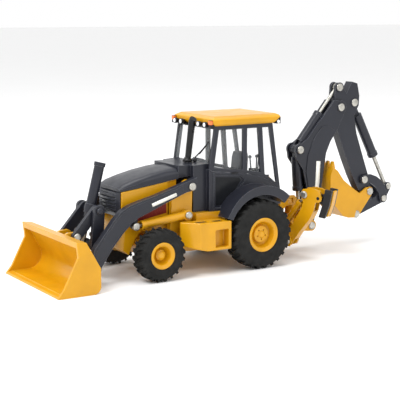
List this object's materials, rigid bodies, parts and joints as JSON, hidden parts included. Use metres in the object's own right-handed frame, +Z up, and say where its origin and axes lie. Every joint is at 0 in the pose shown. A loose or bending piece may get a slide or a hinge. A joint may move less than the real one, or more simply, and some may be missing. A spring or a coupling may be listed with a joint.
{
  "type": "toy backhoe loader",
  "caption": "Die-cast style toy backhoe loader with working front bucket, swinging rear hoe, folding stabilizers and rolling wheels.",
  "frame": {"origin": "middle of the box the model fills, on the ground under it", "axes": "+X points forward to the loader bucket, +Y to the machine's left, +Z up"},
  "size_m": [0.165, 0.0526, 0.0674],
  "materials": {
    "yellow_paint": "glossy construction yellow enamel on die-cast zinc",
    "slate_paint": "satin dark blue-grey enamel on die-cast zinc",
    "silver_steel": "plated steel, satin, lightly brushed",
    "black_rubber": "moulded matt tyre rubber",
    "black_plastic": "satin moulded black plastic",
    "interior_plastic": "matt moulded dark grey plastic",
    "clear_plastic": "clear moulded plastic glazing"
  },
  "bodies": {
    "chassis": {"main_frame": "yellow_paint", "engine_hood": "slate_paint", "hood_side_panels": "yellow_paint", "front_grille": "slate_paint", "loader_towers": "yellow_paint", "cab_shell": "slate_paint", "cab_posts": "slate_paint", "cab_roof": "yellow_paint", "cab_glazing": "clear_plastic", "cab_lamps": "black_plastic", "operator_seat": "interior_plastic", "operator_controls": "interior_plastic", "exhaust_stack": "black_plastic", "fuel_tank_step": "yellow_paint", "toolbox_step": "yellow_paint", "rear_frame": "yellow_paint", "chassis_pins": "silver_steel"},
    "rear_wheels": {"rear_axle_shaft": "yellow_paint", "rear_rims": "yellow_paint", "rear_tyres": "black_rubber"},
    "front_axle": {"front_axle_beam": "yellow_paint"},
    "front_wheels": {"front_axle_shaft": "yellow_paint", "front_rims": "yellow_paint", "front_tyres": "black_rubber"},
    "loader_lift": {"loader_arms": "slate_paint", "loader_cross_tube": "slate_paint", "loader_rivets": "silver_steel"},
    "lift_barrel": {"lift_barrels": "yellow_paint"},
    "lift_rod": {"lift_rods": "silver_steel"},
    "rocker": {"loader_rockers": "slate_paint"},
    "link": {"loader_links": "slate_paint"},
    "tilt_cylinder": {"tilt_barrel": "slate_paint"},
    "tilt_ram": {"tilt_rod": "silver_steel"},
    "front_bucket": {"loader_bucket": "yellow_paint", "bucket_rivets": "silver_steel"},
    "swing": {"swing_frame": "yellow_paint", "swing_rivets": "silver_steel"},
    "boom_arm": {"boom": "slate_paint", "boom_rivets": "silver_steel"},
    "boom_cylinder": {"boom_barrel": "slate_paint"},
    "boom_ram": {"boom_rod": "silver_steel"},
    "dipper_arm": {"dipper": "slate_paint", "dipper_rivets": "silver_steel"},
    "crowd_cylinder": {"crowd_barrel": "slate_paint"},
    "crowd_ram": {"crowd_rod": "silver_steel"},
    "curl_cylinder": {"curl_barrel": "slate_paint"},
    "curl_ram": {"curl_rod": "silver_steel"},
    "guide": {"guide_links": "slate_paint"},
    "push_link": {"tip_link": "slate_paint", "link_rivets": "silver_steel"},
    "rear_bucket": {"hoe_bucket": "yellow_paint", "hoe_bucket_rivets": "silver_steel"},
    "stabilizer_left": {"stabilizer_arm_left": "yellow_paint"},
    "pad_left": {"stabilizer_pad_left": "black_plastic"},
    "leg_cylinder_left": {"stabilizer_barrel_left": "yellow_paint"},
    "leg_ram_left": {"stabilizer_rod_left": "silver_steel"},
    "stabilizer_right": {"stabilizer_arm_right": "yellow_paint"},
    "pad_right": {"stabilizer_pad_right": "black_plastic"},
    "leg_cylinder_right": {"stabilizer_barrel_right": "yellow_paint"},
    "leg_ram_right": {"stabilizer_rod_right": "silver_steel"}
  },
  "joints": [
    {"name": "rear_wheel_spin", "type": "hinge", "parent": "chassis", "child": "rear_wheels", "pos_m": [-0.0025, 0, 0.0131], "axis": [0, 1, 0], "continuous": true},
    {"name": "front_axle_tilt", "type": "hinge", "parent": "chassis", "child": "front_axle", "pos_m": [0.0403, 0, 0.0122], "axis": [1, 0, 0], "range_deg": [-2.5, 2.5]},
    {"name": "front_wheel_spin", "type": "hinge", "parent": "front_axle", "child": "front_wheels", "pos_m": [0.0403, 0, 0.00975], "axis": [0, 1, 0], "continuous": true},
    {"name": "loader_lift_joint", "type": "hinge", "parent": "chassis", "child": "loader_lift", "pos_m": [0.0241, 0, 0.0325], "axis": [0, -1, 0], "range_deg": [0, 50]},
    {"name": "lift_barrel_joint", "type": "hinge", "parent": "chassis", "child": "lift_barrel", "pos_m": [0.0259, 0, 0.0221], "axis": [0, -1, 0], "range_deg": [-0.4, 48.85]},
    {"name": "lift_rod_joint", "type": "hinge", "parent": "loader_lift", "child": "lift_rod", "pos_m": [0.0472, 0, 0.0199], "axis": [0, -1, 0], "range_deg": [-1.95, 0.4]},
    {"name": "front_bucket_joint", "type": "hinge", "parent": "loader_lift", "child": "front_bucket", "pos_m": [0.0637, 0, 0.0062], "axis": [0, -1, 0], "range_deg": [-50, 4]},
    {"name": "rocker_joint", "type": "hinge", "parent": "loader_lift", "child": "rocker", "pos_m": [0.06, 0, 0.0132], "axis": [0, -1, 0], "range_deg": [-55.4, 4.8]},
    {"name": "link_joint", "type": "hinge", "parent": "rocker", "child": "link", "pos_m": [0.0588, 0, 0.0257], "axis": [0, -1, 0], "range_deg": [-3.08, 33.9]},
    {"name": "tilt_cylinder_joint", "type": "hinge", "parent": "rocker", "child": "tilt_cylinder", "pos_m": [0.0588, 0, 0.0257], "axis": [0, -1, 0], "range_deg": [-1.46, 13.6]},
    {"name": "tilt_ram_joint", "type": "hinge", "parent": "loader_lift", "child": "tilt_ram", "pos_m": [0.0631, 0, 0.0092], "axis": [0, -1, 0], "range_deg": [-42.2, 3.74]},
    {"name": "swing_joint", "type": "hinge", "parent": "chassis", "child": "swing", "pos_m": [-0.0308, 0, 0.012], "axis": [0, 0, 1], "range_deg": [-60, 60]},
    {"name": "boom_joint", "type": "hinge", "parent": "swing", "child": "boom_arm", "pos_m": [-0.0385, 0, 0.0102], "axis": [0, -1, 0], "range_deg": [0, 55]},
    {"name": "boom_ram_joint", "type": "hinge", "parent": "swing", "child": "boom_ram", "pos_m": [-0.0355, 0, 0.012], "axis": [0, -1, 0], "range_deg": [-0.4, 55.67]},
    {"name": "boom_cylinder_joint", "type": "hinge", "parent": "boom_arm", "child": "boom_cylinder", "pos_m": [-0.0331, 0, 0.0412], "axis": [0, -1, 0], "range_deg": [-0.4, 0.68]},
    {"name": "dipper_joint", "type": "hinge", "parent": "boom_arm", "child": "dipper_arm", "pos_m": [-0.0535, 0, 0.0573], "axis": [0, -1, 0], "range_deg": [-70, 0]},
    {"name": "crowd_cylinder_joint", "type": "hinge", "parent": "boom_arm", "child": "crowd_cylinder", "pos_m": [-0.0331, 0, 0.0412], "axis": [0, -1, 0], "range_deg": [-7.96, 0.4]},
    {"name": "crowd_ram_joint", "type": "hinge", "parent": "dipper_arm", "child": "crowd_ram", "pos_m": [-0.0534, 0, 0.0653], "axis": [0, -1, 0], "range_deg": [-0.4, 62.84]},
    {"name": "rear_bucket_joint", "type": "hinge", "parent": "dipper_arm", "child": "rear_bucket", "pos_m": [-0.0697, 0, 0.0214], "axis": [0, -1, 0], "range_deg": [-75, 0]},
    {"name": "guide_joint", "type": "hinge", "parent": "dipper_arm", "child": "guide", "pos_m": [-0.0667, 0, 0.0266], "axis": [0, -1, 0], "range_deg": [-42.77, 0.4]},
    {"name": "push_link_joint", "type": "hinge", "parent": "guide", "child": "push_link", "pos_m": [-0.0775, 0, 0.0178], "axis": [0, -1, 0], "range_deg": [-14.65, 0.4]},
    {"name": "curl_cylinder_joint", "type": "hinge", "parent": "dipper_arm", "child": "curl_cylinder", "pos_m": [-0.0614, 0, 0.0588], "axis": [0, -1, 0], "range_deg": [-6.4, 0.4]},
    {"name": "curl_ram_joint", "type": "hinge", "parent": "push_link", "child": "curl_ram", "pos_m": [-0.0809, 0, 0.0226], "axis": [0, -1, 0], "range_deg": [-0.4, 51.02]},
    {"name": "stabilizer_joint_left", "type": "hinge", "parent": "chassis", "child": "stabilizer_left", "pos_m": [-0.025, 0.0085, 0.0065], "axis": [0.8829, 0.4695, 0], "range_deg": [-55, 0]},
    {"name": "pad_joint_left", "type": "hinge", "parent": "stabilizer_left", "child": "pad_left", "pos_m": [-0.03082, 0.01945, 0.0244], "axis": [0.8829, 0.4695, 0], "range_deg": [-10, 10]},
    {"name": "leg_cylinder_joint_left", "type": "hinge", "parent": "chassis", "child": "leg_cylinder_left", "pos_m": [-0.0235, 0.00568, 0.012], "axis": [0.8829, 0.4695, 0], "range_deg": [-55.78, 0.4]},
    {"name": "leg_ram_joint_left", "type": "hinge", "parent": "stabilizer_left", "child": "leg_ram_left", "pos_m": [-0.02805, 0.01424, 0.0255], "axis": [0.8829, 0.4695, 0], "range_deg": [-0.79, 0.4]},
    {"name": "stabilizer_joint_right", "type": "hinge", "parent": "chassis", "child": "stabilizer_right", "pos_m": [-0.025, -0.0085, 0.0065], "axis": [-0.8829, 0.4695, 0], "range_deg": [-55, 0]},
    {"name": "pad_joint_right", "type": "hinge", "parent": "stabilizer_right", "child": "pad_right", "pos_m": [-0.03082, -0.01945, 0.0244], "axis": [-0.8829, 0.4695, 0], "range_deg": [-10, 10]},
    {"name": "leg_cylinder_joint_right", "type": "hinge", "parent": "chassis", "child": "leg_cylinder_right", "pos_m": [-0.0235, -0.00568, 0.012], "axis": [-0.8829, 0.4695, 0], "range_deg": [-55.78, 0.4]},
    {"name": "leg_ram_joint_right", "type": "hinge", "parent": "stabilizer_right", "child": "leg_ram_right", "pos_m": [-0.02805, -0.01424, 0.0255], "axis": [-0.8829, 0.4695, 0], "range_deg": [-0.79, 0.4]}
  ],
  "couplings": [
    {"joint": "lift_barrel_joint", "follows": "loader_lift_joint", "ratio": 0.969},
    {"joint": "lift_rod_joint", "follows": "loader_lift_joint", "ratio": -0.031},
    {"joint": "rocker_joint", "follows": "front_bucket_joint", "ratio": 1.1},
    {"joint": "link_joint", "follows": "front_bucket_joint", "ratio": -0.67},
    {"joint": "tilt_cylinder_joint", "follows": "front_bucket_joint", "ratio": -0.264},
    {"joint": "tilt_ram_joint", "follows": "front_bucket_joint", "ratio": 0.836},
    {"joint": "boom_ram_joint", "follows": "boom_joint", "ratio": 1.005},
    {"joint": "boom_cylinder_joint", "follows": "boom_joint", "ratio": 0.005},
    {"joint": "crowd_cylinder_joint", "follows": "dipper_joint", "ratio": 0.108},
    {"joint": "crowd_ram_joint", "follows": "dipper_joint", "ratio": -0.892},
    {"joint": "guide_joint", "follows": "rear_bucket_joint", "ratio": 0.565},
    {"joint": "push_link_joint", "follows": "rear_bucket_joint", "ratio": 0.19},
    {"joint": "curl_cylinder_joint", "follows": "rear_bucket_joint", "ratio": 0.08},
    {"joint": "curl_ram_joint", "follows": "rear_bucket_joint", "ratio": -0.675},
    {"joint": "leg_cylinder_joint_left", "follows": "stabilizer_joint_left", "ratio": 1.007},
    {"joint": "leg_ram_joint_left", "follows": "stabilizer_joint_left", "ratio": 0.007},
    {"joint": "leg_cylinder_joint_right", "follows": "stabilizer_joint_right", "ratio": 1.007},
    {"joint": "leg_ram_joint_right", "follows": "stabilizer_joint_right", "ratio": 0.007}
  ]
}
